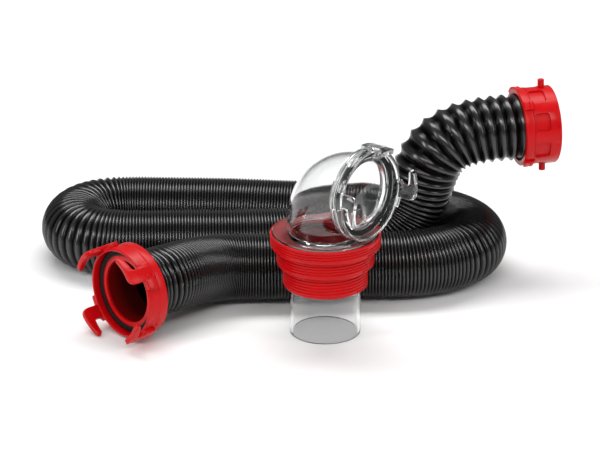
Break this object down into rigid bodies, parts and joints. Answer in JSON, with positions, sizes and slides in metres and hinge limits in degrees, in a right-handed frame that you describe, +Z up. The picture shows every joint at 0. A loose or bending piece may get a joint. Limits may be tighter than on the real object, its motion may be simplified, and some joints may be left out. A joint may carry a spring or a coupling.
{
  "type": "sewer hose kit",
  "caption": "Ribbed black sewer hose with red hooked and pinned swivel fittings and a clear elbow on a stepped threaded adapter",
  "frame": {"origin": "on the ground under the middle of the fittings", "axes": "+Z up, -Y towards the front of the three hose runs, +X to the end with the pinned collar"},
  "size_m": [0.5832, 0.3911, 0.2245],
  "materials": {
    "hose_vinyl": "glossy ribbed black vinyl",
    "red_plastic": "bright red moulded plastic",
    "gasket_rubber": "matt black rubber",
    "black_plastic": "matt black plastic",
    "clear_plastic": "clear moulded plastic"
  },
  "bodies": {
    "hose_run": {"hose": "hose_vinyl", "inlet_sleeve": "red_plastic", "inlet_gasket": "gasket_rubber", "inlet_hose_seal": "gasket_rubber", "inlet_snap_ring": "black_plastic", "outlet_sleeve": "red_plastic", "outlet_hose_seal": "gasket_rubber"},
    "inlet_swivel": {"inlet_ring": "red_plastic", "inlet_hooks": "red_plastic"},
    "outlet_swivel": {"lug_collar": "red_plastic", "lug_pins": "red_plastic", "collar_band": "red_plastic", "band_tabs": "red_plastic"},
    "elbow": {"elbow_spigot": "clear_plastic", "elbow_flange": "clear_plastic", "elbow_bend": "clear_plastic", "elbow_gasket": "gasket_rubber", "elbow_snap_ring": "clear_plastic", "neck_o_ring": "gasket_rubber", "adapter_snap_ring": "clear_plastic"},
    "elbow_swivel": {"elbow_ring": "clear_plastic", "elbow_hooks": "clear_plastic"},
    "adapter": {"thread_adapter": "red_plastic"}
  },
  "joints": [
    {"name": "inlet_turn", "type": "hinge", "parent": "hose_run", "child": "inlet_swivel", "pos_m": [-0.215, -0.092, 0.0514], "axis": [-0.7431, -0.6691, 0], "continuous": true},
    {"name": "outlet_turn", "type": "hinge", "parent": "hose_run", "child": "outlet_swivel", "pos_m": [0.257, 0.122, 0.1657], "axis": [0.9778, 0.2078, 0.0262], "continuous": true},
    {"name": "elbow_lift", "type": "slide", "parent": "hose_run", "child": "elbow", "axis": [0, 0, 1], "range_m": [0, 0.15]},
    {"name": "elbow_turn", "type": "hinge", "parent": "elbow", "child": "elbow_swivel", "pos_m": [0.05004, -0.11147, 0.1705], "axis": [0.766, -0.6428, 0], "continuous": true},
    {"name": "adapter_turn", "type": "hinge", "parent": "elbow", "child": "adapter", "pos_m": [0.003, -0.072, 0.08], "axis": [0, 0, 1], "continuous": true}
  ]
}
